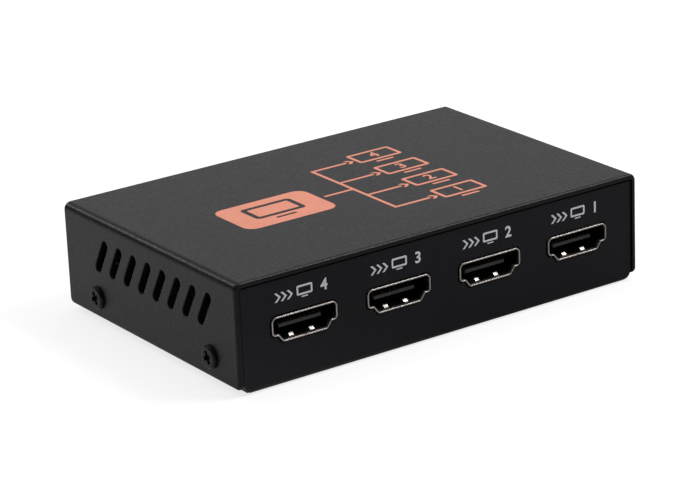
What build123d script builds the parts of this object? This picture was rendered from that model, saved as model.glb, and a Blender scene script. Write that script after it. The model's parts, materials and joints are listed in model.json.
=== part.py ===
from build123d import *
import os
from math import sqrt

os.makedirs("parts", exist_ok=True)

# One-to-four video splitter box, in millimetres.
# X runs along the front from the fourth output to the first, Y from the outputs to the input side,
# and Z points up. The origin is at the middle of the underside.

# Sheet steel and general fits
sheet = 1.0
fit_gap = 0.3  # between the cover and the chassis, and from a part to the panel that it looks through
flange_gap = 0.4  # from the top of the front and back flanges to the cover
overrun = 0.5  # how far a cut runs past what it cuts
press_gap = 0.02  # round pins and stems that are pressed into a hole
thread_gap = 0.05  # between a screw's thread and the thread that it goes into

# Circuit board and what carries it
board_thickness = 1.6
board_corner_radius = 1.0
board_edge_gap = 0.5  # to the inside of the front and back panels
board_tip_gap = 0.35  # to the tips of the cover screws
standoff_height = 6.0
standoff_across_flats = 5.0
stem_radius = 2.1
stem_recess = 0.1  # the swaged stem stays this far inside the underside
standoff_floor = 0.8  # solid metal under the tapped hole

# Video socket: the opening is the standard one, wide side up
opening_width = 14.0
opening_height = 4.55
opening_side = 3.16  # upright part of its sides
opening_ledge = 1.2  # level step below them
opening_floor = 9.5  # width of its narrow bottom
opening_top_round = 0.8
opening_side_round = 0.6
opening_ledge_round = 0.4
opening_floor_round = 0.5
shell_wall = 0.3
shell_rim_round = 0.1
shell_seam = 0.12
socket_length = 12.0
finger_width = 0.95
finger_pitch = 4.6
finger_gap = 0.3
finger_press = 0.55  # how far a spring finger stands in from the wall
finger_front = 1.0  # front edge of the window that it is cut from
finger_rear = 6.4
finger_contact = 1.9
finger_tip = 1.3
finger_tip_press = 0.05
finger_bend = 0.4
leg_width = 1.2
leg_front = 3.6
leg_rear = 9.6
leg_stick = 0.7  # below the board
leg_root = 0.8  # up the side wall
leg_gap = 0.25
insulator_gap = 0.05
insulator_depth = 2.4
tongue_width = 9.8
tongue_thickness = 1.1
tongue_setback = 1.8
tongue_chamfer = 0.25
upper_contact_count = 10
lower_contact_count = 9
contact_pitch = 1.0
contact_width = 0.3
contact_thickness = 0.15
contact_setback = 0.6  # from the front of the tongue
contact_bend = 0.25
upper_turn_depth = 0.9  # from the back of the insulator to where the contact turns down
lower_turn_depth = 0.35
contact_foot = 0.9

# DC power jack, for a 5.5 by 2.1 plug
jack_width = 9.0
jack_height = 11.0
jack_collar = 3.3
jack_rear_width = 8.4
jack_rear_height = 10.0
jack_length = 14.2
jack_axis_height = 6.5
jack_bore_radius = 3.15
jack_bore_depth = 10.0
jack_mouth_chamfer = 0.4
jack_pin_radius = 1.0
jack_pin_setback = 0.9
jack_pin_tip_round = 0.5
jack_shank_radius = 1.3  # of the pin, where it goes through the body
jack_rivet_radius = 1.6
jack_rivet_thickness = 0.5
jack_panel_radius = 3.9
jack_spring_width = 1.8
jack_spring_thickness = 0.3
jack_spring_press = 0.5  # how far it stands into the bore
jack_spring_front = 2.0
jack_spring_crest = 4.2
jack_spring_rear = 8.0
jack_spring_bend = 0.5
jack_channel_gap = 0.2
jack_channel_depth = 0.9
terminal_width = 3.0
terminal_thickness = 0.3
terminal_stick = 1.2  # below the board
terminal_gap = 0.25
terminal_shoulder = 2.0  # above the jack's axis
side_terminal_place = 4.8  # from the front of the jack
side_terminal_height = 3.5

# Case
port_count = 4
port_pitch = 21.5
end_margin = 4.25
tail_reach = upper_turn_depth + contact_foot
middle_depth = 33.4  # between the front sockets and the back ones
headroom = 1.6  # over the jack, the tallest thing on the board
case_width = port_count * port_pitch + 2 * end_margin
case_depth = 2 * (socket_length + tail_reach) + middle_depth
board_bottom = sheet + standoff_height
board_top = board_bottom + board_thickness
case_height = board_top + jack_height + headroom + sheet

# Top cover
cover_bend_radius = 1.5
skirt_rise = 1.3  # its sides end this far above what the box stands on
skirt_corner_radius = 1.2
cut_edge_round = 0.6  # round the outside of its cut edges
vent_count = 8
vent_pitch = 5.23
vent_length = 7.8
vent_width = 2.0
vent_edge_round = 0.2
vent_lean = 30  # degrees from upright
vent_middle = -1.5  # middle of the row, from the middle of the case
vent_height = 14.55

# Cover screws
screw_radius = 1.5
screw_head_radius = 2.3
screw_head_height = 0.75
screw_head_round = 0.5
screw_hole_radius = 1.7
screw_length = 4.0
screw_height = 5.5
screw_pitch = 40.25
screw_middle = -1.0  # middle of a side's pair, from the middle of the case
recess_width = 0.85
recess_span = 2.6
recess_depth = 0.6
recess_turn = 25  # degrees

# Base chassis
base_bend_radius = 1.3
flange_corner_radius = 2.5  # round the lower corners of its flanges
tab_width = 9.0
tab_rise = 3.0  # above the screw's axis
tab_corner_radius = 1.5
tab_root = 1.5  # of its line inside the bottom plate
collar_radius = 2.3
collar_height = 0.8
hole_gap = 0.3  # round the sockets' shells in the panels

# Board screws, with their heads' tops rounded
board_screw_head_radius = 2.75
board_screw_head_height = 2.0
board_screw_head_round = 0.8
board_screw_length = 5.0
board_hole_radius = 1.65

# Lights
led_radius = 1.5
led_gap = 0.1
led_flange_radius = 1.9
led_flange_thickness = 1.0
led_axis_height = 2.6
led_proud = 0.2  # out of the panel
holder_width = 4.4
holder_depth = 5.0
holder_cap = 2.2  # above the light's axis
lead_thickness = 0.5
lead_pitch = 2.54
lead_reach = 0.9
lead_bend = 0.4
lead_stick = 1.0
lead_hole_radius = 0.5

# Chips and their leads
splitter_side = 14.0
splitter_height = 1.4
splitter_lead_count = 16  # on a side
splitter_pitch = 0.8
splitter_lead_width = 0.35
control_length = 9.9
control_lead_count = 8  # on a side
memory_length = 4.9
memory_lead_count = 4
small_chip_width = 3.9
small_chip_height = 1.45
small_pitch = 1.27
small_lead_width = 0.42
chip_rise = 0.1  # of a body above the board
chip_edge_chamfer = 0.2
lead_sheet = 0.15
lead_exit = 0.35
lead_slope = 0.2
lead_foot = 0.6
lead_curve = 0.08

# Cooling of the splitter chip
pad_side = 12.0
pad_thickness = 0.5
sink_side = 16.0
sink_base = 1.5
sink_height = 6.5
sink_fin_count = 6
sink_fin_thickness = 0.9

# Power supply
regulator_length = 6.5
regulator_width = 3.5
regulator_height = 1.6
regulator_tab_width = 3.0
regulator_tab_reach = 1.7
regulator_lead_width = 0.7
regulator_lead_pitch = 2.3
regulator_lead_count = 3
regulator_sheet = 0.25
inductor_side = 7.0
inductor_height = 4.0
inductor_corner = 1.2
inductor_edge_round = 0.4
can_radius = 3.15
can_height = 6.9
can_top_round = 0.4
can_groove_height = 1.3
can_groove_radius = 0.3
can_base_side = 6.6
can_base_height = 0.8
can_base_chamfer = 1.4
can_gap = 1.08  # from the bases to the jack's rear terminal

# Small parts
crystal_length = 11.0
crystal_width = 4.7
crystal_height = 3.4
crystal_flange = 0.4
array_length = 2.5
array_width = 1.0
array_height = 0.55
array_pitch = 7.0
array_row = 1.6  # from the sockets' contacts
chip_part_length = 1.6
chip_part_width = 0.8
resistor_height = 0.45
ceramic_height = 0.8
ceramic_row_count = 6
ceramic_row_pitch = 2.5
ceramic_row_gap = 2.4  # from the splitter chip's leads
resistor_row_count = 8
resistor_row_pitch = 2.2

# Where things stand, as shares of the case's width and of the middle zone's depth
input_place_share = 0.0
jack_place_share = 0.286
power_led_place_share = 0.15
channel_led_place_shares = (-0.34, -0.287, -0.234, -0.181)
board_hole_front_shares = (0.415, -0.37)
board_hole_back_shares = (0.415, 0.73)
capacitor_place_shares = (0.33, 0.235)
inductor_place_shares = (0.235, -0.08)
regulator_place_shares = ((0.335, -0.02), (0.335, -0.26))
crystal_place_shares = (-0.2, 0.27)
control_place_shares = (-0.28, -0.09)
memory_place_shares = (-0.33, 0.25)
resistor_place_shares = (-0.19, -0.27)

# Heights and places that follow
cover_inner_x = case_width / 2 - sheet
flange_x = cover_inner_x - fit_gap
plate_x = flange_x - base_bend_radius
panel_outer_y = case_depth / 2 - fit_gap
panel_inner_y = panel_outer_y - sheet
part_front_y = panel_inner_y - fit_gap
screw_tip_x = case_width / 2 - screw_length
board_x = screw_tip_x - board_tip_gap
board_y = panel_inner_y - board_edge_gap
socket_floor_z = shell_wall
socket_roof_z = socket_floor_z + opening_height
socket_middle_z = (socket_floor_z + socket_roof_z) / 2
screw_ys = [screw_middle - screw_pitch / 2, screw_middle + screw_pitch / 2]
port_xs = [(place - (port_count - 1) / 2) * port_pitch for place in range(port_count)]
input_x = input_place_share * case_width
jack_x = jack_place_share * case_width
can_y = part_front_y - jack_length - terminal_thickness - can_gap - can_base_side / 2
power_led_x = power_led_place_share * case_width
channel_led_xs = [share * case_width for share in channel_led_place_shares]


def on_board(shares):
    """A place on the board's top from shares of the case's width and the middle zone's depth."""
    return Pos(shares[0] * case_width, shares[1] * middle_depth, board_top)


board_holes = [
    (side * shares[0] * case_width, shares[1] * middle_depth)
    for shares in (board_hole_front_shares, board_hole_back_shares)
    for side in (-1, 1)
]


def block(x, y, z):
    """A box between a low and a high value on each axis."""
    size = [high - low for low, high in (x, y, z)]
    middle = [(low + high) / 2 for low, high in (x, y, z)]
    return Pos(*middle) * Box(*size)


def rod_x(radius, x, y, z):
    return Pos((x[0] + x[1]) / 2, y, z) * Rot(0, 90, 0) * Cylinder(radius, x[1] - x[0])


def rod_y(radius, x, y, z):
    return Pos(x, (y[0] + y[1]) / 2, z) * Rot(90, 0, 0) * Cylinder(radius, y[1] - y[0])


def rod_z(radius, x, y, z):
    return Pos(x, y, (z[0] + z[1]) / 2) * Cylinder(radius, z[1] - z[0])


def strip_along_x(points, bend, thickness, x):
    """A bent strip of sheet: a rounded line in Y and Z, thickened and drawn out along X."""
    section = trace(FilletPolyline(*points, radius=bend), thickness)
    return extrude(Plane.YZ.offset(x[0]) * section, x[1] - x[0])


def strip_along_y(points, bend, thickness, y):
    """A bent strip of sheet: a rounded line in X and Z, thickened and drawn out along Y."""
    section = trace(FilletPolyline(*points, radius=bend), thickness)
    return extrude(Plane.XZ.offset(-y[1]) * section, y[1] - y[0])


def corner(shape, x, y):
    """The corner of a flat outline at a place."""
    return shape.vertices().sort_by_distance((x, y, 0))[0]


def opening_outline(grow):
    """The socket's opening, in X and Z, with rounded corners, grown on every side by a clearance."""
    top = opening_width / 2
    ledge = top - opening_ledge
    floor = opening_floor / 2
    ledge_z = socket_roof_z - opening_side
    slope = (ledge - floor) / (ledge_z - socket_floor_z)
    aside = grow * sqrt(1 + slope**2)

    def slope_x(z):
        return floor + (z - socket_floor_z) * slope + aside

    corners = [
        (top + grow, socket_roof_z + grow),
        (top + grow, ledge_z - grow),
        (slope_x(ledge_z - grow), ledge_z - grow),
        (slope_x(socket_floor_z - grow), socket_floor_z - grow),
    ]
    rounds = [
        opening_top_round + grow,
        opening_side_round + grow,
        opening_ledge_round - grow,
        opening_floor_round + grow,
    ]
    face = make_face(Polyline(*corners, *[(-x, z) for x, z in reversed(corners)], close=True))
    for (x, z), radius in zip(corners, rounds):
        if radius > 0:
            face = fillet([corner(face, x, z), corner(face, -x, z)], radius)
    return face


def drawn_back(face, y):
    """A face in X and Z drawn out along Y, from low to high."""
    return extrude(Plane.XZ.offset(-y[1]) * face, y[1] - y[0])


def socket_hole(y):
    """What a panel loses for a socket that stands on the board."""
    return drawn_back(opening_outline(shell_wall + hole_gap), y)


# Video socket, with its mouth at Y zero and standing on Z zero


def make_shell():
    tube = drawn_back(opening_outline(shell_wall) - opening_outline(0), (0, socket_length))
    shell = fillet(tube.faces().sort_by(Axis.Y)[0].edges(), shell_rim_round)
    seam = shell_seam / 2
    shell -= block((-seam, seam), (-overrun, socket_length + overrun), (-overrun, shell_wall + overrun))
    walls = ((0, shell_wall, 1), (socket_roof_z, socket_roof_z + shell_wall, -1))
    for low, high, inward in walls:
        middle = (low + high) / 2
        line = [
            (finger_rear + overrun, middle),
            (finger_rear, middle),
            (finger_contact, middle + inward * finger_press),
            (finger_tip, middle + inward * finger_tip_press),
        ]
        for side in (-1, 1):
            at = side * finger_pitch / 2
            half = finger_width / 2
            window = (at - half - finger_gap, at + half + finger_gap)
            shell -= block(window, (finger_front, finger_rear), (low - overrun, high + overrun))
            shell += strip_along_x(line, finger_bend, shell_wall, (at - half, at + half))
    outer = opening_width / 2 + shell_wall
    leg_top = socket_roof_z - opening_side + opening_side_round + leg_root
    for y in (leg_front, leg_rear):
        reach = (y - leg_width / 2, y + leg_width / 2)
        for x in ((-outer, shell_wall - outer), (outer - shell_wall, outer)):
            shell += block(x, reach, (-board_thickness - leg_stick, leg_top))
    return shell


def contact_line(z, drop):
    """From the front of the tongue back through the insulator and down to a foot on the board."""
    turn = socket_length + drop
    foot = contact_thickness / 2
    return [
        (tongue_setback + contact_setback, z),
        (turn, z),
        (turn, foot),
        (turn + contact_foot, foot),
    ]


def make_contacts():
    half = contact_width / 2
    rows = (
        (upper_contact_count, socket_middle_z + tongue_thickness / 2, upper_turn_depth),
        (lower_contact_count, socket_middle_z - tongue_thickness / 2, lower_turn_depth),
    )
    contacts = []
    for count, z, drop in rows:
        for place in range(count):
            x = (place - (count - 1) / 2) * contact_pitch
            line = contact_line(z, drop)
            contacts.append(strip_along_x(line, contact_bend, contact_thickness, (x - half, x + half)))
    return contacts


def make_insulator(contacts):
    back = (socket_length - insulator_depth, socket_length)
    wall = drawn_back(opening_outline(-insulator_gap), back)
    half = tongue_width / 2
    rise = tongue_thickness / 2
    tongue = block(
        (-half, half),
        (tongue_setback, socket_length - insulator_depth),
        (socket_middle_z - rise, socket_middle_z + rise),
    )
    nose = tongue.faces().sort_by(Axis.Y)[0].edges()
    insulator = wall + chamfer(nose, tongue_chamfer)
    for contact in contacts:
        insulator -= contact
    return insulator


# DC power jack, with its face at Y zero and standing on Z zero


def jack_spring_line():
    rest = jack_axis_height - jack_bore_radius - jack_spring_thickness / 2
    crest = rest + jack_spring_press + jack_spring_thickness
    foot = -board_thickness - terminal_stick
    return [
        (jack_spring_front, rest),
        (jack_spring_crest, crest),
        (jack_spring_rear, rest),
        (jack_spring_rear, foot),
    ]


def make_jack_spring():
    half = jack_spring_width / 2
    return strip_along_x(jack_spring_line(), jack_spring_bend, jack_spring_thickness, (-half, half))


def make_jack_body():
    half = jack_width / 2
    rear = jack_rear_width / 2
    body = block((-half, half), (0, jack_collar), (0, jack_height))
    body += block((-rear, rear), (jack_collar, jack_length), (0, jack_rear_height))
    body -= rod_y(jack_bore_radius, 0, (-overrun, jack_bore_depth), jack_axis_height)
    mouth = body.faces().sort_by(Axis.Y)[0].edges().filter_by(GeomType.CIRCLE)
    body = chamfer(mouth, jack_mouth_chamfer)
    body -= rod_y(
        jack_shank_radius + press_gap,
        0,
        (jack_bore_depth - overrun, jack_length + overrun),
        jack_axis_height,
    )
    channel = jack_spring_width / 2 + jack_channel_gap
    channel_z = jack_axis_height - jack_bore_radius - jack_channel_depth
    front = jack_spring_front - overrun
    slot_front = jack_spring_rear - jack_spring_thickness / 2 - jack_channel_gap
    slot_rear = jack_spring_rear + jack_spring_thickness / 2 + jack_channel_gap
    body -= block((-channel, channel), (front, slot_rear), (channel_z, jack_axis_height))
    body -= block((-channel, channel), (slot_front, slot_rear), (-overrun, channel_z + overrun))
    return body


def make_jack_pin():
    """The pin reaches from just inside the mouth to a riveted end behind its terminal."""
    end = jack_length + terminal_thickness
    pin = rod_y(jack_pin_radius, 0, (jack_pin_setback, jack_bore_depth), jack_axis_height)
    pin = fillet(pin.edges().sort_by(Axis.Y)[0], jack_pin_tip_round)
    pin += rod_y(jack_shank_radius, 0, (jack_bore_depth, end), jack_axis_height)
    return pin + rod_y(jack_rivet_radius, 0, (end, end + jack_rivet_thickness), jack_axis_height)


def make_jack_terminals():
    """A plate behind the jack that the pin is riveted to, and the switched one at its side."""
    half = terminal_width / 2
    foot = -board_thickness - terminal_stick
    rear = block(
        (-half, half),
        (jack_length, jack_length + terminal_thickness),
        (foot, jack_axis_height + terminal_shoulder),
    )
    through = (jack_length - overrun, jack_length + terminal_thickness + overrun)
    rear -= rod_y(jack_shank_radius + press_gap, 0, through, jack_axis_height)
    outer = jack_rear_width / 2
    side = block(
        (outer, outer + terminal_thickness),
        (side_terminal_place, side_terminal_place + terminal_width),
        (foot, side_terminal_height),
    )
    return [rear, side]


def jack_slots():
    """The board's slots for the jack's terminals, as (x, y) ranges in the jack's own places."""
    gap = terminal_gap
    half = terminal_width / 2 + gap
    spring = jack_spring_width / 2 + gap
    outer = jack_rear_width / 2
    leg = jack_spring_thickness / 2 + gap
    return [
        ((-half, half), (jack_length - gap, jack_length + terminal_thickness + gap)),
        ((-spring, spring), (jack_spring_rear - leg, jack_spring_rear + leg)),
        (
            (outer - gap, outer + terminal_thickness + gap),
            (side_terminal_place - gap, side_terminal_place + terminal_width + gap),
        ),
    ]


# Light, with its holder's face at Y zero and standing on Z zero


def make_led():
    """A round lens with a domed front and a flange behind, which looks out along -Y."""
    flange_front = holder_depth - led_flange_thickness
    tip = -(fit_gap + sheet + led_proud)
    lens = rod_y(led_radius, 0, (tip + led_radius, flange_front), led_axis_height)
    lens += Pos(0, tip + led_radius, led_axis_height) * Sphere(led_radius)
    return lens + rod_y(led_flange_radius, 0, (flange_front, holder_depth), led_axis_height)


def make_holder():
    half = holder_width / 2
    flange_front = holder_depth - led_flange_thickness
    holder = block((-half, half), (0, holder_depth), (0, led_axis_height + holder_cap))
    holder -= rod_y(led_radius + led_gap, 0, (-overrun, holder_depth), led_axis_height)
    seat = (flange_front, holder_depth + overrun)
    return holder - rod_y(led_flange_radius + led_gap, 0, seat, led_axis_height)


def make_leads():
    """Two square wires that go back from the light's flange and down through the board."""
    turn = holder_depth + lead_reach
    foot = -board_thickness - lead_stick
    line = [(holder_depth, led_axis_height), (turn, led_axis_height), (turn, foot)]
    half = lead_thickness / 2
    places = (-lead_pitch / 2, lead_pitch / 2)
    return [strip_along_x(line, lead_bend, lead_thickness, (x - half, x + half)) for x in places]


# Chips, standing on Z zero with their leads' feet


def lead_line(edge, body_height):
    """A gull-wing lead in one plane, from the edge of the body down to a foot."""
    exit_z = chip_rise + body_height / 2
    foot_z = lead_sheet / 2
    knee = edge + lead_exit
    heel = knee + lead_slope
    return [(edge, exit_z), (knee, exit_z), (heel, foot_z), (heel + lead_foot, foot_z)]


def lead_row(count, pitch, width, edge, body_height):
    """A row of leads along X that reach out towards +Y."""
    line = lead_line(edge, body_height)
    half = width / 2
    places = [(place - (count - 1) / 2) * pitch for place in range(count)]
    return [strip_along_x(line, lead_curve, lead_sheet, (x - half, x + half)) for x in places]


def make_chip(length, width, height):
    body = block((-length / 2, length / 2), (-width / 2, width / 2), (chip_rise, chip_rise + height))
    return chamfer(body.faces().sort_by(Axis.Z)[-1].edges(), chip_edge_chamfer)


def turned(parts, angles):
    return [Rot(0, 0, angle) * part for angle in angles for part in parts]


def small_leads(count):
    row = lead_row(count, small_pitch, small_lead_width, small_chip_width / 2, small_chip_height)
    return turned(row, (0, 180))


def make_heat_sink():
    half = sink_side / 2
    sink = block((-half, half), (-half, half), (0, sink_base))
    step = (sink_side - sink_fin_thickness) / (sink_fin_count - 1)
    for fin in range(sink_fin_count):
        x = fin * step - half
        sink += block((x, x + sink_fin_thickness), (-half, half), (sink_base, sink_height))
    return sink


def regulator_metal():
    """The wide tab behind a regulator and the three leads in front of it."""
    edge = regulator_width / 2
    half = regulator_tab_width / 2
    metal = [block((-half, half), (edge, edge + regulator_tab_reach), (0, regulator_sheet))]
    half = regulator_lead_width / 2
    for place in range(regulator_lead_count):
        x = (place - (regulator_lead_count - 1) / 2) * regulator_lead_pitch
        reach = (-edge - regulator_tab_reach, -edge)
        metal.append(block((x - half, x + half), reach, (0, regulator_sheet)))
    return metal


def make_regulator():
    length, width = regulator_length / 2, regulator_width / 2
    body = block((-length, length), (-width, width), (0, regulator_height))
    return chamfer(body.faces().sort_by(Axis.Z)[-1].edges(), chip_edge_chamfer)


def make_inductor():
    half = inductor_side / 2
    body = block((-half, half), (-half, half), (0, inductor_height))
    body = chamfer(body.edges().filter_by(Axis.Z), inductor_corner)
    return fillet(body.faces().sort_by(Axis.Z)[-1].edges(), inductor_edge_round)


def make_can():
    """An aluminium can on its base, with a rolled groove near the bottom."""
    top = can_base_height + can_height
    can = rod_z(can_radius, 0, 0, (can_base_height, top))
    can = fillet(can.faces().sort_by(Axis.Z)[-1].edges(), can_top_round)
    groove = Torus(can_radius, can_groove_radius)
    return can - Pos(0, 0, can_base_height + can_groove_height) * groove


def make_can_base():
    half = can_base_side / 2
    base = block((-half, half), (-half, half), (0, can_base_height))
    cut = base.edges().filter_by(Axis.Z).group_by(Axis.X)[-1]
    return chamfer(cut, can_base_chamfer)


def make_crystal():
    """A flat-sided can with round ends on a slightly larger flange."""
    flange = SlotOverall(crystal_length, crystal_width)
    can = SlotOverall(crystal_length - 2 * crystal_flange, crystal_width - 2 * crystal_flange)
    crystal = extrude(flange, crystal_flange)
    crystal += extrude(Pos(0, 0, crystal_flange) * can, crystal_height - crystal_flange)
    return fillet(crystal.faces().sort_by(Axis.Z)[-1].edges(), crystal_flange)


def chip_part(length, width, height):
    return block((-length / 2, length / 2), (-width / 2, width / 2), (0, height))


# Screws, with their heads' undersides on Z zero


def make_screw(head_radius, head_height, head_round, length):
    head = rod_z(head_radius, 0, 0, (0, head_height))
    head = fillet(head.faces().sort_by(Axis.Z)[-1].edges(), head_round)
    recess_floor = head_height - recess_depth
    half, reach = recess_width / 2, recess_span / 2
    cross = block((-half, half), (-reach, reach), (recess_floor, head_height + overrun))
    cross += Rot(0, 0, 90) * cross
    head -= Rot(0, 0, recess_turn) * cross
    return head + rod_z(screw_radius, 0, 0, (-length, 0))


# Sheet steel


def cover_envelope():
    """The block that the cover fills from outside: bent along its top, rounded at its cut edges."""
    x, y = case_width / 2, case_depth / 2
    body = block((-x, x), (-y, y), (skirt_rise, case_height))
    body = fillet(body.edges().filter_by(Axis.Y).group_by(Axis.Z)[-1], cover_bend_radius)
    body = fillet(body.edges().filter_by(Axis.X).group_by(Axis.Z)[0], skirt_corner_radius)
    middle = case_height / 2
    smooth = body.edges().filter_by(Axis.X).filter_by(lambda edge: edge.center().Z < middle)
    smooth += body.edges().filter_by(Axis.Y).filter_by(lambda edge: edge.center().Z > middle)
    return fillet([edge for edge in body.edges() if edge not in smooth], cut_edge_round)


def make_cover():
    wall_x = case_width / 2 - sheet / 2
    roof_z = case_height - sheet / 2
    line = [(-wall_x, skirt_rise), (-wall_x, roof_z), (wall_x, roof_z), (wall_x, skirt_rise)]
    depth = (-case_depth / 2, case_depth / 2)
    cover = strip_along_y(line, cover_bend_radius - sheet / 2, sheet, depth) & cover_envelope()
    for place in range(vent_count):
        y = vent_middle + (place - (vent_count - 1) / 2) * vent_pitch
        slot = Pos(y, vent_height) * Rot(0, 0, 90 + vent_lean) * SlotOverall(vent_length, vent_width)
        cover -= extrude(Plane.YZ * slot, case_width, both=True)
    for y in screw_ys:
        cover -= rod_x(screw_hole_radius, (-case_width, case_width), y, screw_height)
    mouths = [
        edge
        for face in (cover.faces().sort_by(Axis.X)[0], cover.faces().sort_by(Axis.X)[-1])
        for wire in face.inner_wires()
        for edge in wire.edges()
    ]
    return fillet(mouths, vent_edge_round)


def make_chassis():
    plate_z = sheet / 2
    wall_y = panel_outer_y - sheet / 2
    top = case_height - sheet - flange_gap
    line = [(-wall_y, top), (-wall_y, plate_z), (wall_y, plate_z), (wall_y, top)]
    chassis = strip_along_x(line, base_bend_radius - sheet / 2, sheet, (-flange_x, flange_x))
    outside = (-overrun, sheet + base_bend_radius)
    bend_y = panel_outer_y - base_bend_radius
    for side in (-1, 1):
        edge = sorted((side * plate_x, side * (flange_x + overrun)))
        chassis -= block(edge, (-bend_y, bend_y), outside)
        corner_x = side * (flange_x - flange_corner_radius)
        corner = sorted((corner_x, side * (flange_x + overrun)))
        for end in ((-case_depth, -bend_y), (bend_y, case_depth)):
            low_corner = block(corner, end, (-overrun, flange_corner_radius))
            chassis -= low_corner - rod_y(flange_corner_radius, corner_x, end, flange_corner_radius)
        for y in screw_ys:
            chassis += make_tab(side, y)
    for x in port_xs:
        front = (-case_depth / 2 - overrun, -panel_inner_y + overrun)
        chassis -= Pos(x, 0, board_top) * socket_hole(front)
    back = (panel_inner_y - overrun, case_depth / 2 + overrun)
    chassis -= Pos(input_x, 0, board_top) * socket_hole(back)
    chassis -= rod_y(jack_panel_radius, jack_x, back, board_top + jack_axis_height)
    for x in (power_led_x, *channel_led_xs):
        chassis -= rod_y(led_radius + led_gap, x, back, board_top + led_axis_height)
    for x, y in board_holes:
        chassis -= rod_z(stem_radius + press_gap, x, y, (-overrun, sheet + overrun))
    return chassis


def make_tab(side, y):
    """A tab bent up inside the cover's side, with a tapped collar for the cover screw."""
    wall_x = flange_x - sheet / 2
    tab_top = screw_height + tab_rise
    line = [
        (side * (plate_x - tab_root), sheet / 2),
        (side * wall_x, sheet / 2),
        (side * wall_x, tab_top),
    ]
    reach = (y - tab_width / 2, y + tab_width / 2)
    tab = strip_along_y(line, base_bend_radius - sheet / 2, sheet, reach)
    upper = tab.edges().filter_by(Axis.X).group_by(Axis.Z)[-1]
    tab = fillet(upper, tab_corner_radius)
    inner = flange_x - sheet
    collar = sorted((side * (inner - collar_height), side * inner))
    tab += rod_x(collar_radius, collar, y, screw_height)
    through = sorted((side * (inner - collar_height - overrun), side * (flange_x + overrun)))
    return tab - rod_x(screw_radius + thread_gap, through, y, screw_height)


# Board


def make_board():
    board = extrude(
        Pos(0, 0, board_bottom) * RectangleRounded(2 * board_x, 2 * board_y, board_corner_radius),
        board_thickness,
    )
    through = (board_bottom - overrun, board_top + overrun)
    for x, y in board_holes:
        board -= rod_z(board_hole_radius, x, y, through)
    outer = opening_width / 2 + shell_wall
    for place in socket_places():
        for x in (-outer, outer - shell_wall):
            for y in (leg_front, leg_rear):
                slot = block(
                    (x - leg_gap, x + shell_wall + leg_gap),
                    (y - leg_width / 2 - leg_gap, y + leg_width / 2 + leg_gap),
                    (-board_thickness - overrun, overrun),
                )
                board -= place * slot
    for x, y in jack_slots():
        board -= jack_location() * block(x, y, (-board_thickness - overrun, overrun))
    lead_y = holder_depth + lead_reach
    for place in led_places():
        for x in (-lead_pitch / 2, lead_pitch / 2):
            board -= place * rod_z(lead_hole_radius, x, lead_y, (-board_thickness - overrun, overrun))
    return board


def output_places():
    return [Pos(x, -case_depth / 2, board_top) for x in port_xs]


def input_location():
    return Pos(input_x, case_depth / 2, board_top) * Rot(0, 0, 180)


def socket_places():
    return [*output_places(), input_location()]


def jack_location():
    return Pos(jack_x, part_front_y, board_top) * Rot(0, 0, 180)


def led_places():
    """The power light first, then the channel lights."""
    xs = (power_led_x, *channel_led_xs)
    return [Pos(x, part_front_y, board_top) * Rot(0, 0, 180) for x in xs]


def make_standoff():
    flat = standoff_across_flats / 2
    hexagon = RegularPolygon(flat, 6, major_radius=False)
    standoff = extrude(Pos(0, 0, sheet) * hexagon, standoff_height)
    standoff += rod_z(stem_radius, 0, 0, (stem_recess, sheet))
    bore = (sheet + standoff_floor, board_bottom + overrun)
    return standoff - rod_z(screw_radius + thread_gap, 0, 0, bore)


def ceramic_places():
    """Rows on the four sides of the splitter chip, outside its leads."""
    edge = splitter_side / 2 + lead_exit + lead_slope + lead_foot + ceramic_row_gap
    places = []
    for angle in (0, 90, 180, 270):
        for place in range(ceramic_row_count):
            along = (place - (ceramic_row_count - 1) / 2) * ceramic_row_pitch
            places.append(Pos(0, 0, board_top) * Rot(0, 0, angle) * Pos(edge, along, 0))
    return places


def resistor_places():
    row = on_board(resistor_place_shares)
    middle = (resistor_row_count - 1) / 2
    steps = [(place - middle) * resistor_row_pitch for place in range(resistor_row_count)]
    return [row * Pos(step, 0, 0) * Rot(0, 0, 90) for step in steps]


def array_places():
    """Two surge arrays behind each socket's contacts."""
    behind = socket_length + tail_reach + array_row
    return [
        place * Pos(side * array_pitch / 2, behind, 0) for place in socket_places() for side in (-1, 1)
    ]


def group(parts):
    """Separate solids in one node."""
    return Compound(children=[solid for part in parts for solid in part.solids()])


def save(name, parts):
    export_step(group(parts), f"parts/{name}.step")


def save_socket(name, place, pieces):
    for kind, parts in pieces.items():
        save(f"{name}_{kind}", [place * part for part in parts])


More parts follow.
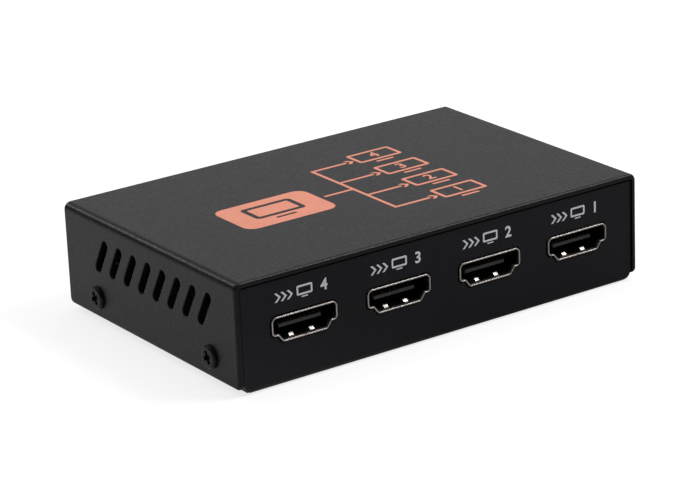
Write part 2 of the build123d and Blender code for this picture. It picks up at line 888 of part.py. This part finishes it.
def main():
    save("top_cover", [make_cover()])
    save("base_chassis", [make_chassis()])
    cover_screw = make_screw(screw_head_radius, screw_head_height, screw_head_round, screw_length)
    save(
        "cover_screws",
        [
            Pos(side * case_width / 2, y, screw_height) * Rot(0, side * 90, 0) * cover_screw
            for side in (-1, 1)
            for y in screw_ys
        ],
    )

    save("circuit_board", [make_board()])
    save("board_standoffs", [Pos(x, y, 0) * make_standoff() for x, y in board_holes])
    board_screw = make_screw(
        board_screw_head_radius, board_screw_head_height, board_screw_head_round, board_screw_length
    )
    save("board_screws", [Pos(x, y, board_top) * board_screw for x, y in board_holes])

    contacts = make_contacts()
    socket = {"shell": [make_shell()], "insulator": [make_insulator(contacts)], "contacts": contacts}
    for number, place in enumerate(reversed(output_places()), start=1):
        save_socket(f"output_{number}", place, socket)
    save_socket("input", input_location(), socket)

    jack = jack_location()
    save("dc_jack_body", [jack * make_jack_body()])
    save("dc_jack_pin", [jack * make_jack_pin()])
    save("dc_jack_spring", [jack * make_jack_spring()])
    save("dc_jack_terminals", [jack * terminal for terminal in make_jack_terminals()])

    lights = [place * make_led() for place in led_places()]
    save("power_led", lights[:1])
    save("channel_leds", lights[1:])
    save("led_holders", [place * make_holder() for place in led_places()])
    save("led_leads", [place * lead for place in led_places() for lead in make_leads()])

    middle = Pos(0, 0, board_top)
    save("splitter_chip", [middle * make_chip(splitter_side, splitter_side, splitter_height)])
    row = lead_row(
        splitter_lead_count, splitter_pitch, splitter_lead_width, splitter_side / 2, splitter_height
    )
    save("splitter_chip_leads", [middle * lead for lead in turned(row, (0, 90, 180, 270))])
    pad_z = chip_rise + splitter_height
    save("thermal_pad", [middle * Pos(0, 0, pad_z) * chip_part(pad_side, pad_side, pad_thickness)])
    save("heat_sink", [middle * Pos(0, 0, pad_z + pad_thickness) * make_heat_sink()])

    for name, shares, length, leads in (
        ("control_chip", control_place_shares, control_length, control_lead_count),
        ("memory_chip", memory_place_shares, memory_length, memory_lead_count),
    ):
        place = on_board(shares)
        save(name, [place * make_chip(length, small_chip_width, small_chip_height)])
        save(f"{name}_leads", [place * lead for lead in small_leads(leads)])

    regulators = [on_board(shares) for shares in regulator_place_shares]
    save("regulators", [place * make_regulator() for place in regulators])
    save("regulator_leads", [place * metal for place in regulators for metal in regulator_metal()])
    save("power_inductor", [on_board(inductor_place_shares) * make_inductor()])
    cans = [Pos(share * case_width, can_y, board_top) for share in capacitor_place_shares]
    save("capacitor_cans", [place * make_can() for place in cans])
    save("capacitor_bases", [place * make_can_base() for place in cans])

    save("crystal", [on_board(crystal_place_shares) * make_crystal()])
    array = chip_part(array_length, array_width, array_height)
    save("surge_arrays", [place * array for place in array_places()])
    resistor = chip_part(chip_part_length, chip_part_width, resistor_height)
    save("resistors", [place * resistor for place in resistor_places()])
    ceramic = chip_part(chip_part_length, chip_part_width, ceramic_height)
    save("ceramic_capacitors", [place * ceramic for place in ceramic_places()])


main()
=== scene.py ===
import json
import math

import bmesh
import bpy
from mathutils import Matrix, Vector


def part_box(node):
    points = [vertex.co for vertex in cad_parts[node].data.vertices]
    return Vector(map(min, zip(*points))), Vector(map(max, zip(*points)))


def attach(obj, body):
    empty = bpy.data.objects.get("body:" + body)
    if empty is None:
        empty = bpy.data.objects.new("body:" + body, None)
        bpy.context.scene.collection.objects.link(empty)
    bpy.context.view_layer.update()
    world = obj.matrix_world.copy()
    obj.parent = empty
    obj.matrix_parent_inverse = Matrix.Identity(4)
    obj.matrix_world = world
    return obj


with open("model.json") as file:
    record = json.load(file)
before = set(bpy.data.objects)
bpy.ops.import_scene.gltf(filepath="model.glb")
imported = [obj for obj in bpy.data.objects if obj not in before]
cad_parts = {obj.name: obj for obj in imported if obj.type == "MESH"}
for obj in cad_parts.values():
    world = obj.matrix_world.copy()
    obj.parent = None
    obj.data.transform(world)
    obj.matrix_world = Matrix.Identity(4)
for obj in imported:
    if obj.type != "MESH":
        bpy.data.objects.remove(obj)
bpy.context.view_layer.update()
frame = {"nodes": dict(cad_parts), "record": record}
nodes = frame["nodes"]

MM = 0.001
FLOOR_Z = -0.05 * MM
FLOOR_HALF = 3.0  # metres from its middle to its sides
PRINT_DEPTH = 0.02 * MM  # ink stands this far out of the paint
PRINT_ROOT = 0.02 * MM  # and reaches this far into it

cover_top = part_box("top_cover")[1].z
panel_low, panel_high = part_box("base_chassis")
OUTPUTS = range(1, 5)  # the numbers of the outputs, and of their lights
NOISE_LOW, NOISE_HIGH = 0.3, 0.7  # a noise layer fades from one look to the other between these

# Scales of a texture's axes
ALONG_Y = (1, 0.1, 1)  # marks drawn out along Y
ALONG_Z = (1, 1, 0.1)  # and along Z
TURNED = (1, 1, 6)  # close rings round Z

# Print on the panels, in millimetres
LABEL_Y = 17.35  # height of the marks over the sockets
LIGHT_LABEL_Y = 15.2  # height of the marks over the lights
MARK_SCREEN = (3.5, 2.4, 0.36)  # width, height and line of a small screen
MARK_ARROW = (1.8, 0.5)  # height and line of an arrow
ARROW_STEP = 1.35
MARK_LINE = 0.28  # line of the round signs

# Shares of a printed screen's size
FOOT_SHARE = 0.2  # of its height, for the foot and the gap over it
HALF_FOOT_SHARE = 0.2  # of its width
FOOT_LINE_SHARE = 0.45  # of the foot's own part of the height
CORNER_SHARE = 0.9  # of its line, for its corners' radius

# Figures
FIGURE_STEPS = 6  # in each bend of a figure's outline
FIGURE_SWELL = 0.022  # share of its size that a figure's strokes are swollen by

# Meshes of the print, in metres
MERGE_DISTANCE = 1e-7
SHORTEST_EDGE = 1e-8


def middle_x(name):
    """The middle of a node's box along X, in millimetres."""
    low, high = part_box(name)
    return (low.x + high.x) / 2 / MM


# Materials


class Paint:
    """One procedural material: a Principled shader with its noise layers."""

    def __init__(self, name, colour, roughness, metallic=0.0):
        self.material = bpy.data.materials.new(name)
        self.material.use_nodes = True
        self.material.diffuse_color = (*colour, 1)
        self.tree = self.material.node_tree
        self.shader = self.tree.nodes["Principled BSDF"]
        self.colour = colour
        self.shader.inputs["Base Color"].default_value = (*colour, 1)
        self.shader.inputs["Roughness"].default_value = roughness
        self.shader.inputs["Metallic"].default_value = metallic
        self.place = self.node("ShaderNodeTexCoord").outputs["Object"]
        self.normal = None

    def node(self, kind, **settings):
        made = self.tree.nodes.new(kind)
        for name, value in settings.items():
            setattr(made, name, value)
        return made

    def link(self, source, target):
        self.tree.links.new(source, target)

    def set(self, **values):
        for name, value in values.items():
            self.shader.inputs[name.replace("_", " ")].default_value = value
        return self

    def stretched(self, stretch):
        if stretch is None:
            return self.place
        mapping = self.node("ShaderNodeMapping")
        mapping.inputs["Scale"].default_value = stretch
        self.link(self.place, mapping.inputs["Vector"])
        return mapping.outputs["Vector"]

    def noise(self, size, detail=2.0, stretch=None):
        """Noise whose blobs are about this many millimetres across."""
        made = self.node("ShaderNodeTexNoise")
        made.inputs["Scale"].default_value = 1 / (size * MM)
        made.inputs["Detail"].default_value = detail
        self.link(self.stretched(stretch), made.inputs["Vector"])
        return made.outputs["Fac"]

    def cells(self, size):
        """Cells about this many millimetres across."""
        made = self.node("ShaderNodeTexVoronoi")
        made.inputs["Scale"].default_value = 1 / (size * MM)
        self.link(self.place, made.inputs["Vector"])
        return made.outputs["Distance"]

    def axis(self, name):
        """One coordinate, in metres."""
        split = self.node("ShaderNodeSeparateXYZ")
        self.link(self.place, split.inputs["Vector"])
        return split.outputs[name]

    def math(self, operation, source, *others):
        """Arithmetic on a layer, with other layers or numbers."""
        made = self.node("ShaderNodeMath", operation=operation)
        self.link(source, made.inputs[0])
        for target, value in zip(made.inputs[1:], others):
            if isinstance(value, bpy.types.NodeSocket):
                self.link(value, target)
            else:
                target.default_value = value
        return made.outputs["Value"]

    def ranged(self, source, low, high, start=NOISE_LOW, end=NOISE_HIGH):
        """A layer that goes from low to high while the source goes from start to end."""
        made = self.node("ShaderNodeMapRange")
        for name, value in (("From Min", start), ("From Max", end), ("To Min", low), ("To Max", high)):
            made.inputs[name].default_value = value
        self.link(source, made.inputs["Value"])
        return made.outputs["Result"]

    def varied(self, source, other, start=NOISE_LOW, end=NOISE_HIGH):
        """The colour drifts to another one while the source goes from start to end."""
        mix = self.node("ShaderNodeMix", data_type="RGBA")
        mix.inputs["A"].default_value = (*self.colour, 1)
        mix.inputs["B"].default_value = (*other, 1)
        old = self.shader.inputs["Base Color"].links
        if old:
            self.link(old[0].from_socket, mix.inputs["A"])
        self.link(self.ranged(source, 0, 1, start, end), mix.inputs["Factor"])
        self.link(mix.outputs["Result"], self.shader.inputs["Base Color"])
        return self

    def rough(self, source, low, high, start=NOISE_LOW, end=NOISE_HIGH):
        self.link(self.ranged(source, low, high, start, end), self.shader.inputs["Roughness"])
        return self

    def bump(self, source, height, strength):
        """A layer of relief this many millimetres high."""
        made = self.node("ShaderNodeBump")
        made.inputs["Strength"].default_value = strength
        made.inputs["Distance"].default_value = height * MM
        self.link(source, made.inputs["Height"])
        if self.normal is not None:
            self.link(self.normal, made.inputs["Normal"])
        self.normal = made.outputs["Normal"]
        self.link(self.normal, self.shader.inputs["Normal"])
        return self


def shifted(colour, gain, lift=0.0):
    """A brighter or duller colour, with no share over 1."""
    return tuple(min(1, share * gain + lift) for share in colour)


def powder_coat():
    """Black powder coat: a fine orange-peel skin with duller pits and a few grains of dust."""
    made = Paint("powder_coat", colour=(0.0078, 0.0078, 0.0108), roughness=0.38)
    made.set(Specular_IOR_Level=0.22)
    made.varied(made.noise(size=9.0), other=(0.0065, 0.0065, 0.009))
    made.varied(made.noise(size=0.35, detail=3), other=(0.0115, 0.0115, 0.0145), start=0.45, end=0.8)
    made.rough(made.noise(size=0.5, detail=3), low=0.33, high=0.43)
    made.bump(made.cells(size=0.45), height=0.026, strength=0.75)
    return made.bump(made.noise(size=0.26, detail=3), height=0.03, strength=0.85)


def black_screw():
    """Black oxide with a film of oil."""
    made = Paint("black_screw", colour=(0.006, 0.006, 0.0065), roughness=0.28)
    made.set(Specular_IOR_Level=0.16)
    made.varied(made.noise(size=0.9), other=(0.012, 0.0115, 0.011), start=0.5, end=0.8)
    made.rough(made.noise(size=0.3), low=0.22, high=0.36)
    return made.bump(made.noise(size=0.18, detail=3), height=0.006, strength=0.5)


def plated(name, colour, roughness, drift, stretch=None):
    """Plated or drawn metal with faint drawing marks and stains."""
    made = Paint(name, colour, roughness, metallic=1.0)
    made.varied(made.noise(size=2.2, detail=3), other=drift)
    made.rough(made.noise(size=0.8), low=roughness * 0.8, high=roughness * 1.35)
    return made.bump(made.noise(size=0.25, detail=3, stretch=stretch), height=0.004, strength=0.5)


def moulded(name, colour, roughness, grain=0.14, height=0.008, specular=0.5):
    """Moulded plastic with the fine grain of an eroded mould."""
    made = Paint(name, colour, roughness)
    made.set(Specular_IOR_Level=specular)
    made.varied(made.noise(size=3.0), other=shifted(colour, gain=1.35, lift=0.002), start=0.4, end=0.8)
    made.rough(made.noise(size=0.6), low=roughness * 0.85, high=min(1, roughness * 1.2))
    return made.bump(made.noise(size=grain, detail=3), height=height, strength=0.6)


def socket_nickel():
    """Nickel plate with painted shade: dark in the mouth, except at the rim and on the tips of the spring
    fingers, where the lamps glint.
    """
    made = plated("socket_nickel", (0.64, 0.59, 0.56), 0.4, (0.54, 0.49, 0.47), stretch=ALONG_Y)
    rim = -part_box("output_1_shell")[0].y
    shade_from, shade_to = 0.3 * MM, 0.9 * MM  # in from the rim
    tip_from, tip_to = 1.6 * MM, 1.8 * MM
    finger_x, half_width = 2.3 * MM, 0.55 * MM  # from the middle of a socket
    # X is folded at this and its multiples, so that each socket's middle, the input's too, is at zero
    fold = (middle_x("output_1_shell") - middle_x("output_2_shell")) * MM / 4

    # Painted shade: the metal inside the mouth is darkened to near black. The tips of the spring fingers
    # keep their plain colour, so the lamps still glint on them.
    place = made.math("ABSOLUTE", made.axis("Y"))
    inside = made.ranged(place, low=1, high=0, start=rim - shade_to, end=rim - shade_from)
    fingers = made.math("COMPARE", made.math("PINGPONG", made.axis("X"), fold), finger_x, half_width)
    near = made.ranged(place, low=0, high=1, start=rim - tip_to, end=rim - tip_from)
    tips = made.math("MULTIPLY", fingers, near)
    return made.varied(made.math("SUBTRACT", inside, tips), other=(0.05, 0.046, 0.044), start=0, end=1)


def socket_plastic():
    """Black moulded plastic with a painted highlight: paler in a thin band at the front of the tongue."""
    made = moulded("socket_plastic", (0.005, 0.005, 0.0055), 0.34, specular=0.2)
    tip = -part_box("output_1_insulator")[0].y
    highlight_from, highlight_to = 0.02 * MM, 0.07 * MM  # in from the tongue's front
    # Painted highlight: a thin band at the tongue's front is made paler in place of the light that its
    # lower edge catches.
    place = made.math("ABSOLUTE", made.axis("Y"))
    worn = made.ranged(place, low=0, high=1, start=tip - highlight_to, end=tip - highlight_from)
    return made.varied(worn, other=(0.08, 0.08, 0.082), start=0, end=1)


def solder_mask():
    """A lacquered board: darker bare laminate between routed tracks that show as low ridges."""
    made = Paint("solder_mask", colour=(0.012, 0.085, 0.035), roughness=0.3)
    made.set(Coat_Weight=0.4, Coat_Roughness=0.12)
    tracks = made.node("ShaderNodeTexBrick", offset=0.37, squash=0.6, squash_frequency=3)
    for name, value in (("Scale", 330.0), ("Mortar Size", 0.018), ("Mortar Smooth", 0.2), ("Bias", 0.1)):
        tracks.inputs[name].default_value = value
    made.link(made.place, tracks.inputs["Vector"])
    made.varied(tracks.outputs["Fac"], other=(0.03, 0.15, 0.06), start=0.2, end=0.8)
    made.varied(made.noise(size=6.0), other=(0.010, 0.066, 0.028))
    made.rough(made.noise(size=1.0), low=0.24, high=0.36)
    made.bump(tracks.outputs["Fac"], height=0.03, strength=0.6)
    return made.bump(made.noise(size=0.3), height=0.004, strength=0.4)


def lens(name, colour):
    """Tinted clear plastic over a bright die."""
    made = Paint(name, colour, roughness=0.12)
    made.set(Transmission_Weight=0.55, IOR=1.5, Coat_Weight=0.3, Coat_Roughness=0.05)
    made.varied(made.noise(size=1.2), other=shifted(colour, gain=1.6, lift=0.02))
    return made.bump(made.noise(size=0.5), height=0.004, strength=0.3)


def ink(name, colour, worn):
    """Screen print: flat ink with a slightly uneven film and fine pinholes from the coat below."""
    made = Paint(name, colour, roughness=0.5)
    made.set(Specular_IOR_Level=0.4)
    made.varied(made.noise(size=4.0), other=shifted(colour, gain=0.94))
    made.varied(made.cells(size=0.3), other=worn, start=0.02, end=0.0)
    made.rough(made.noise(size=0.5), low=0.45, high=0.62)
    return made.bump(made.noise(size=0.22, detail=3), height=0.012, strength=0.6)


def sink_finish():
    """Aluminium with the drawing marks of an extrusion."""
    made = plated("sink_finish", (0.60, 0.60, 0.61), 0.38, (0.50, 0.50, 0.52), stretch=(1, 0.06, 1))
    return made.bump(made.noise(size=0.12, detail=2, stretch=(1, 0.04, 1)), height=0.01, strength=0.5)


# Each material slot's look: name, colour, roughness, then the colour that a metal drifts to
LOOKS = {
    "case_paint": powder_coat(),
    "screw_black": black_screw(),
    "socket_steel": socket_nickel(),
    "socket_plastic": socket_plastic(),
    "contact_metal": plated("contact_gold", (0.86, 0.64, 0.27), 0.24, (0.78, 0.57, 0.24)),
    "board_mask": solder_mask(),
    "standoff_brass": plated("turned_brass", (0.74, 0.57, 0.27), 0.3, (0.62, 0.47, 0.22), TURNED),
    "screw_steel": plated("zinc_screw", (0.62, 0.62, 0.60), 0.32, (0.54, 0.54, 0.50)),
    "jack_plastic": moulded("jack_plastic", (0.016, 0.016, 0.017), 0.42),
    "jack_metal": plated("jack_nickel", (0.70, 0.69, 0.66), 0.24, (0.60, 0.59, 0.56)),
    "light_red": lens("red_lens", (0.50, 0.03, 0.02)),
    "light_blue": lens("blue_lens", (0.05, 0.14, 0.50)),
    "holder_plastic": moulded("holder_plastic", (0.02, 0.02, 0.021), 0.5),
    "lead_tin": plated("tinned_lead", (0.66, 0.66, 0.65), 0.34, (0.56, 0.56, 0.54)),
    "chip_plastic": moulded("chip_epoxy", (0.022, 0.022, 0.024), 0.6, grain=0.09, height=0.006),
    "pad_rubber": moulded("thermal_pad_rubber", (0.42, 0.45, 0.49), 0.75, grain=0.5),
    "sink_metal": sink_finish(),
    "ferrite": moulded("pressed_ferrite", (0.075, 0.077, 0.082), 0.62, grain=0.2, height=0.02),
    "can_metal": plated("drawn_can", (0.70, 0.70, 0.71), 0.3, (0.62, 0.62, 0.63), ALONG_Z),
    "crystal_metal": plated("drawn_crystal", (0.68, 0.68, 0.69), 0.28, (0.60, 0.60, 0.61)),
    "ceramic_body": moulded("fired_ceramic", (0.40, 0.28, 0.18), 0.55, grain=0.3),
}
CORAL = ink("coral_ink", colour=(0.78, 0.285, 0.185), worn=(0.60, 0.22, 0.15))
PALE_INK = ink("pale_ink", colour=(0.78, 0.80, 0.83), worn=(0.66, 0.68, 0.71))

slot_of = {part["node"]: part["material_slot"] for part in frame["record"]["subparts"]}
for name, node in nodes.items():
    node.data.materials.clear()
    node.data.materials.append(LOOKS[slot_of[name]].material)


# Print: flat shapes given a little depth


def tidy_mesh(mesh):
    """Merge double points, drop empty faces and turn the rest outwards."""
    shape = bmesh.new()
    shape.from_mesh(mesh)
    bmesh.ops.remove_doubles(shape, verts=shape.verts, dist=MERGE_DISTANCE)
    bmesh.ops.dissolve_degenerate(shape, edges=shape.edges, dist=SHORTEST_EDGE)
    bmesh.ops.recalc_face_normals(shape, faces=shape.faces)
    shape.to_mesh(mesh)
    shape.free()
    return mesh


def arc(middle, radius, start, end, steps=8):
    """Points on an arc between two angles, in degrees."""
    turns = [math.radians(start + (end - start) * step / steps) for step in range(steps + 1)]
    return [(middle[0] + radius * math.cos(turn), middle[1] + radius * math.sin(turn)) for turn in turns]


def rounded(x, y, radius):
    """A rounded rectangle between a low and a high value on each axis."""
    (x0, x1), (y0, y1) = x, y
    places = [(x1, y1, 0), (x0, y1, 90), (x0, y0, 180), (x1, y0, 270)]
    corners = []
    for cx, cy, start in places:
        inward_x = math.copysign(radius, cx - x0 - radius)
        inward_y = math.copysign(radius, cy - y0 - radius)
        corners += arc((cx - inward_x, cy - inward_y), radius, start, start + 90)
    return corners


def ring(middle, radius):
    """A closed circle."""
    return arc(middle, radius, 0, 360, steps=40)[:-1]


def bar(x, y):
    """A rectangle between a low and a high value on each axis."""
    return [(x[0], y[0]), (x[1], y[0]), (x[1], y[1]), (x[0], y[1])]


def frame_of(x, y, radius, wall):
    """Outline of a frame with an open middle: outer loop, then inner loop."""
    inner_radius = max(radius - wall, wall / 4)
    inside = rounded((x[0] + wall, x[1] - wall), (y[0] + wall, y[1] - wall), inner_radius)
    return [rounded(x, y, radius), inside]


def chevron(x, y, size, wall):
    """An arrowhead that points along X, with its back at x and its middle at y."""
    half = size / 2
    return [
        (x, y + half),
        (x + wall, y + half),
        (x + wall + half, y),
        (x + wall, y - half),
        (x, y - half),
        (x + half, y),
    ]


def monitor(x, y, width, height, wall):
    """A screen on a stand, seen from the front: its loops, with the screen left open."""
    x0, x1 = x - width / 2, x + width / 2
    y0, y1 = y - height / 2, y + height / 2
    foot = height * FOOT_SHARE
    half_foot = width * HALF_FOOT_SHARE
    screen = frame_of((x0, x1), (y0 + foot, y1), wall * CORNER_SHARE, wall)
    stand = bar((x - half_foot, x + half_foot), (y0, y0 + foot * FOOT_LINE_SHARE))
    return [*screen, stand]


def print_loops(name, loops, place, look, slot):
    """Fill flat loops, in millimetres, by the even-odd rule, thicken them and put them in place."""
    curve = bpy.data.curves.new(name, "CURVE")
    curve.dimensions = "2D"
    curve.fill_mode = "BOTH"
    curve.extrude = (PRINT_DEPTH + PRINT_ROOT) / 2
    for loop in loops:
        spline = curve.splines.new("POLY")
        spline.points.add(len(loop) - 1)
        for point, (x, y) in zip(spline.points, loop):
            point.co = (x * MM, y * MM, 0, 1)
        spline.use_cyclic_u = True
    settle(name, curve, place, look)


def settle(name, curve, place, look):
    """Turn a curve or text to a mesh, move it to its place and let it ride on the box."""
    holder = bpy.data.objects.new(name + "_line", curve)
    bpy.context.scene.collection.objects.link(holder)
    bpy.context.view_layer.update()
    graph = bpy.context.evaluated_depsgraph_get()
    mesh = bpy.data.meshes.new_from_object(holder.evaluated_get(graph))
    bpy.data.objects.remove(holder)
    bpy.data.curves.remove(curve)
    mesh.transform(place @ Matrix.Translation((0, 0, (PRINT_DEPTH - PRINT_ROOT) / 2)))
    mesh.materials.clear()
    mesh.materials.append(look.material)
    piece = bpy.data.objects.new(name, tidy_mesh(mesh))
    bpy.context.scene.collection.objects.link(piece)
    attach(piece, "root")


def print_figure(name, text, size, x, y, place, look, slot):
    """Print a plain figure, centred on a point of the face."""
    curve = bpy.data.curves.new(name, "FONT")
    curve.body = text
    curve.size = size * MM
    curve.align_x = "CENTER"
    curve.align_y = "CENTER"
    curve.resolution_u = FIGURE_STEPS
    curve.offset = FIGURE_SWELL * size * MM
    curve.extrude = (PRINT_DEPTH + PRINT_ROOT) / 2
    settle(name, curve, place @ Matrix.Translation((x * MM, y * MM, 0)), look)


def top_face():
    """X along the front, Y towards the back, out of the cover's top."""
    return Matrix.Translation((0, 0, cover_top))


def front_face():
    """X along the front, Y up, out of the front panel."""
    return Matrix.Translation((0, panel_low.y, 0)) @ Matrix.Rotation(math.radians(90), 4, "X")


def back_face():
    """X along the back as seen from behind, Y up, out of the back panel."""
    turn = Matrix.Rotation(math.radians(180), 4, "Z") @ Matrix.Rotation(math.radians(90), 4, "X")
    return Matrix.Translation((0, panel_high.y, 0)) @ turn


def top_print():
    """One source block with lines that branch out to four screens."""
    face = (top_face(), CORAL, "case_paint")
    block_x, block_y, block_corner = (-29.0, -8.0), (-8.0, 5.5), 2.4
    block_screen = (11.5, 8.4, 1.1)  # width, height and line
    wall = 0.72  # thickness of the lines
    screen_x, half_width, half_height, spacing = 15.5, 5.2, 3.5, 9.4
    trunk_x, trunk_gap, line_gap = -0.5, 1.0, 2.2
    arrow_gap, arrow_height, arrow_line = 2.3, 2.1, 0.9
    figure_size, figure_lift = 3.9, 0.7

    middle = sum(block_y) / 2
    loops = [rounded(block_x, block_y, block_corner), *monitor(sum(block_x) / 2, middle, *block_screen)]
    print_loops("print_source", loops, *face)

    screens = [middle + step * spacing for step in (-1.5, -0.5, 0.5, 1.5)]
    lines = [
        bar((block_x[1] + trunk_gap, trunk_x), (middle - wall / 2, middle + wall / 2)),
        bar((trunk_x, trunk_x + wall), (screens[0] - wall / 2, screens[-1] + wall / 2)),
    ]
    for y in screens:
        line_x = (trunk_x + wall, screen_x - half_width - line_gap)
        lines.append(bar(line_x, (y - wall / 2, y + wall / 2)))
    for number, line in enumerate(lines):
        print_loops(f"print_line_{number}", [line], *face)
    for number, y in zip(OUTPUTS, screens):
        arrow = chevron(screen_x - half_width - arrow_gap, y, arrow_height, arrow_line)
        print_loops(f"print_arrow_{number}", [arrow], *face)
        loops = monitor(screen_x, y, 2 * half_width, 2 * half_height, wall)
        print_loops(f"print_screen_{number}", loops, *face)
        print_figure(f"print_figure_{number}", str(number), figure_size, screen_x, y + figure_lift, *face)


def mark_arrows(x):
    """A row of small arrows that starts at x."""
    return [chevron(x + step * ARROW_STEP, LABEL_Y, *MARK_ARROW) for step in range(3)]


def port_labels():
    """Over each output: arrows, a small screen and the output's number."""
    face = (front_face(), PALE_INK, "case_paint")
    arrows_x, screen_x, figure_x, figure_size = -6.3, 0.35, 4.7, 3.1
    for number in OUTPUTS:
        x = middle_x(f"output_{number}_shell")
        loops = [*mark_arrows(x + arrows_x), *monitor(x + screen_x, LABEL_Y, *MARK_SCREEN)]
        print_loops(f"label_output_{number}", loops, *face)
        print_figure(f"label_figure_{number}", str(number), figure_size, x + figure_x, LABEL_Y, *face)


def back_labels():
    """Marks for the input and the lights over them, and the polarity sign under the jack."""
    face = (back_face(), PALE_INK, "case_paint")
    screen_x, arrows_x = -2.2, 1.2
    x = -middle_x("input_shell")
    loops = [*monitor(x + screen_x, LABEL_Y, *MARK_SCREEN), *mark_arrows(x + arrows_x)]
    print_loops("label_input", loops, *face)

    x, y, sign_radius = -middle_x("power_led"), LIGHT_LABEL_Y, 1.0
    half_stem, stem_foot, stem_tip = 0.15, 0.1, 1.25
    stem = bar((x - half_stem, x + half_stem), (y + stem_foot, y + stem_tip))
    loops = [open_arc(x, y, sign_radius, gap=32, turn=90), stem]
    print_loops("label_power", loops, *face)

    low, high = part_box("channel_leds")
    light_radius, figure_size = 1.5, 2.4
    first, last = -high.x / MM + light_radius, -low.x / MM - light_radius
    for number in OUTPUTS:
        x = first + (last - first) * (number - 1) / (len(OUTPUTS) - 1)
        print_figure(f"label_light_{number}", str(number), figure_size, x, y, *face)

    x, y, dot_radius, arc_radius = -middle_x("dc_jack_body"), 7.6, 0.85, 1.75
    loops = [ring((x, y), dot_radius), open_arc(x, y, arc_radius, gap=50, turn=0)]
    print_loops("label_polarity", loops, *face)


def open_arc(x, y, radius, gap, turn):
    """A ring with a gap, which reaches this many degrees to both sides of an angle."""
    outer = arc((x, y), radius, turn + gap, turn + 360 - gap, steps=30)
    inner = arc((x, y), radius - MARK_LINE, turn + 360 - gap, turn + gap, steps=30)
    return [*outer, *inner]


top_print()
port_labels()
back_labels()


# Studio


def ray_levels(tree, camera, mirrored, other):
    """A strength for the camera's rays, one for reflected and refracted rays, and one for the rest.

    The mirrored one may be a number or a socket.
    """
    path = tree.nodes.new("ShaderNodeLightPath")
    either = tree.nodes.new("ShaderNodeMath")
    either.operation = "MAXIMUM"
    tree.links.new(path.outputs["Is Glossy Ray"], either.inputs[0])
    tree.links.new(path.outputs["Is Transmission Ray"], either.inputs[1])
    result = None
    for level, switch in ((mirrored, either.outputs[0]), (camera, path.outputs["Is Camera Ray"])):
        mix = tree.nodes.new("ShaderNodeMix")
        mix.inputs["A"].default_value = other
        if isinstance(level, bpy.types.NodeSocket):
            tree.links.new(level, mix.inputs["B"])
        else:
            mix.inputs["B"].default_value = level
        if result is not None:
            tree.links.new(result, mix.inputs["A"])
        tree.links.new(switch, mix.inputs["Factor"])
        result = mix.outputs["Result"]
    return result


def make_floor(camera, front, rear):
    """A pale floor that the camera and reflections see brighter, with the box's soft shadow kept.

    Reflections see it dimmer before the box than at its left and behind it.
    """
    made = Paint("paper_floor", colour=(0.3, 0.3, 0.3), roughness=0.9)
    made.set(Specular_IOR_Level=0.0)
    tree = made.tree
    output = next(node for node in tree.nodes if node.type == "OUTPUT_MATERIAL")
    glow = tree.nodes.new("ShaderNodeEmission")
    glow.inputs["Color"].default_value = (1, 1, 1, 1)
    across = made.node("ShaderNodeVectorMath", operation="DOT_PRODUCT")
    across.inputs[1].default_value = (-0.7, 0.7, 0)  # towards the left and the back
    made.link(made.place, across.inputs[0])
    mirrored = made.ranged(across.outputs["Value"], low=front, high=rear, start=-0.03, end=0.03)
    tree.links.new(ray_levels(tree, camera, mirrored, 0.0), glow.inputs["Strength"])
    add = tree.nodes.new("ShaderNodeAddShader")
    tree.links.new(made.shader.outputs["BSDF"], add.inputs[0])
    tree.links.new(glow.outputs["Emission"], add.inputs[1])
    tree.links.new(add.outputs[0], output.inputs["Surface"])
    mesh = bpy.data.meshes.new("studio_floor")
    corners = [(x * FLOOR_HALF, y * FLOOR_HALF, FLOOR_Z) for x, y in ((-1, -1), (1, -1), (1, 1), (-1, 1))]
    mesh.from_pydata(corners, [], [(0, 1, 2, 3)])
    mesh.materials.append(made.material)
    floor = bpy.data.objects.new("studio_floor", mesh)
    bpy.context.scene.collection.objects.link(floor)


def make_world(camera, mirrored, diffuse):
    """White to the camera, dim in reflections, and a soft fill for matt surfaces."""
    world = bpy.data.worlds.new("studio")
    bpy.context.scene.world = world
    world.use_nodes = True
    tree = world.node_tree
    background = tree.nodes["Background"]
    background.inputs["Color"].default_value = (1, 1, 1, 1)
    tree.links.new(ray_levels(tree, camera, mirrored, diffuse), background.inputs["Strength"])


def make_lamp(name, place, aim, size, power):
    """A rectangular lamp, in metres and watts."""
    data = bpy.data.lights.new(name, "AREA")
    data.shape = "RECTANGLE"
    data.size, data.size_y = size
    data.energy = power
    lamp = bpy.data.objects.new(name, data)
    lamp.location = place
    lamp.rotation_mode = "QUATERNION"
    lamp.rotation_quaternion = (Vector(aim) - Vector(place)).to_track_quat("-Z", "Y")
    bpy.context.scene.collection.objects.link(lamp)


def make_camera():
    """The camera that was fitted to the photograph."""
    data = bpy.data.cameras.new("camera")
    data.sensor_width = 36.0
    data.lens = 152.951
    data.clip_start, data.clip_end = 0.01, 20.0
    camera = bpy.data.objects.new("camera", data)
    camera.matrix_world = Matrix.Translation((-0.313464, -0.454050, 0.209544)) @ Matrix((
        (0.81486127, 0.22719106, -0.53327791),
        (-0.57837915, 0.25764347, -0.77401383),
        (-0.03845345, 0.93915071, 0.34134626),
    )).to_4x4()
    bpy.context.scene.collection.objects.link(camera)
    bpy.context.scene.camera = camera


make_floor(camera=0.77, front=0.03, rear=0.5)
make_world(camera=1.0, mirrored=0.1, diffuse=0.35)
make_lamp("key", place=(0.5, -0.34, 0.73), aim=(0, 0, 0), size=(0.36, 0.36), power=4.6)
make_lamp("overhead", place=(0.1, 0.2, 0.75), aim=(0, 0, 0), size=(0.9, 0.6), power=1.9)
make_lamp("back_panel", place=(0.75, 1.05, 0.42), aim=(0, 0, 0.02), size=(1.6, 0.75), power=2.3)
make_lamp("fold_glint", place=(-0.34, 0.8, 0.56), aim=(0, 0, 0.01), size=(0.12, 0.12), power=1.4)
make_camera()

bpy.context.scene.view_settings.view_transform = "Standard"
